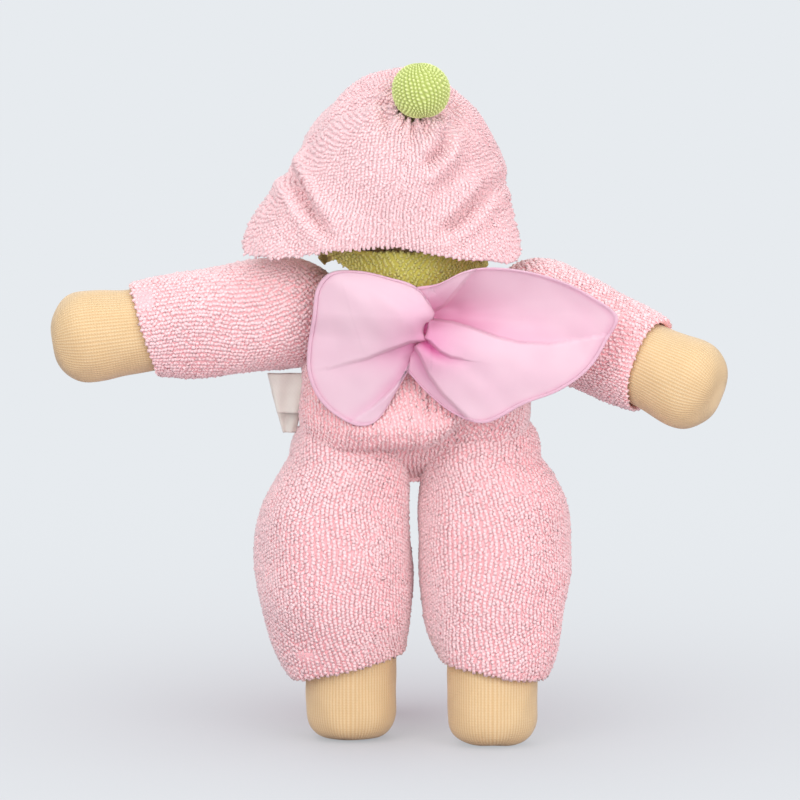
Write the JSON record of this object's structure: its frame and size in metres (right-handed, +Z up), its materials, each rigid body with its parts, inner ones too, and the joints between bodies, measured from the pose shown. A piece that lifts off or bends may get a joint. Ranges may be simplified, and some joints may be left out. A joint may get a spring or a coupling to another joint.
{
  "type": "rattle doll",
  "caption": "Soft rattle doll with stuffed limbs, a petal bonnet, a leaf collar and gathered silk wings, standing.",
  "frame": {"origin": "on the floor under the middle of the bounding box", "axes": "+Z up, the doll faces -Y, +X is the doll's own left"},
  "size_m": [0.204, 0.0658, 0.2109],
  "materials": {
    "pink_terry": "matte",
    "peach_jersey": "matte",
    "green_knit": "matte",
    "olive_terry": "matte",
    "lilac_silk": "satin",
    "white_cotton": "matte",
    "filling": "matte",
    "brown_thread": "matte",
    "rose_thread": "matte",
    "clear_plastic": "matte"
  },
  "bodies": {
    "body": {"body_front": "pink_terry", "body_back_left": "pink_terry", "body_back_right": "pink_terry", "body_filling": "filling", "rattle_cup": "clear_plastic", "rattle_lid": "clear_plastic", "collar": "olive_terry", "wing_knot": "lilac_silk", "label_upper": "white_cotton", "label_lower": "white_cotton"},
    "bead_1": {"rattle_bead_1": "clear_plastic"},
    "bead_2": {"rattle_bead_2": "clear_plastic"},
    "bead_3": {"rattle_bead_3": "clear_plastic"},
    "neck": {"neck": "peach_jersey", "neck_binding": "rose_thread"},
    "head": {"head_cover": "peach_jersey", "head_filling": "filling", "eye_left": "brown_thread", "eye_right": "brown_thread", "mouth": "rose_thread", "hat_petal_back_left": "pink_terry", "hat_petal_back_right": "pink_terry", "hat_petal_front_left": "pink_terry", "hat_petal_front_right": "pink_terry", "hat_ball": "green_knit"},
    "arm_left": {"sleeve_left": "pink_terry", "hand_left": "peach_jersey", "arm_filling_left": "filling"},
    "arm_right": {"sleeve_right": "pink_terry", "hand_right": "peach_jersey", "arm_filling_right": "filling"},
    "leg_left": {"trouser_left": "pink_terry", "foot_left": "peach_jersey", "leg_filling_left": "filling"},
    "leg_right": {"trouser_right": "pink_terry", "foot_right": "peach_jersey", "leg_filling_right": "filling"},
    "wing_left": {"wing_left": "lilac_silk"},
    "wing_right": {"wing_right": "lilac_silk"}
  },
  "joints": [
    {"name": "head_turn", "type": "hinge", "parent": "body", "child": "neck", "pos_m": [-0.00394, -0.00419, 0.142], "axis": [0, 0, 1], "range_deg": [-20, 20], "stiffness_Nm_per_rad": 0.08},
    {"name": "head_nod", "type": "hinge", "parent": "neck", "child": "head", "pos_m": [-0.00394, -0.00419, 0.142], "axis": [1, 0, 0], "range_deg": [-3, 5], "stiffness_Nm_per_rad": 0.3},
    {"name": "arm_left_lift", "type": "hinge", "parent": "body", "child": "arm_left", "pos_m": [0.03006, -0.00218, 0.1315], "axis": [0, 1, 0], "range_deg": [-8, 40], "stiffness_Nm_per_rad": 0.16, "deforming": ["label_upper", "label_lower"]},
    {"name": "arm_right_lift", "type": "hinge", "parent": "body", "child": "arm_right", "pos_m": [-0.04594, -0.00218, 0.1315], "axis": [0, -1, 0], "range_deg": [-14, 30], "stiffness_Nm_per_rad": 0.16},
    {"name": "leg_left_swing", "type": "hinge", "parent": "body", "child": "leg_left", "pos_m": [0.01206, -0.00218, 0.087], "axis": [-1, 0, 0], "range_deg": [-15, 50], "stiffness_Nm_per_rad": 0.5},
    {"name": "leg_right_swing", "type": "hinge", "parent": "body", "child": "leg_right", "pos_m": [-0.02794, -0.00218, 0.087], "axis": [-1, 0, 0], "range_deg": [-15, 50], "stiffness_Nm_per_rad": 0.5},
    {"name": "wing_left_open", "type": "hinge", "parent": "body", "child": "wing_left", "pos_m": [-0.01194, 0.02441, 0.1256], "axis": [0, 0, 1], "range_deg": [0, 45], "stiffness_Nm_per_rad": 0.002},
    {"name": "wing_right_open", "type": "hinge", "parent": "body", "child": "wing_right", "pos_m": [-0.01194, 0.02441, 0.1256], "axis": [0, 0, -1], "range_deg": [0, 45], "stiffness_Nm_per_rad": 0.002},
    {"name": "bead_1_slide", "type": "slide", "parent": "body", "child": "bead_1", "axis": [0, 0, 1], "range_m": [0, 0.0068]},
    {"name": "bead_2_slide", "type": "slide", "parent": "body", "child": "bead_2", "axis": [0, 0, 1], "range_m": [0, 0.0068]},
    {"name": "bead_3_slide", "type": "slide", "parent": "body", "child": "bead_3", "axis": [0, 0, 1], "range_m": [0, 0.0068]}
  ]
}
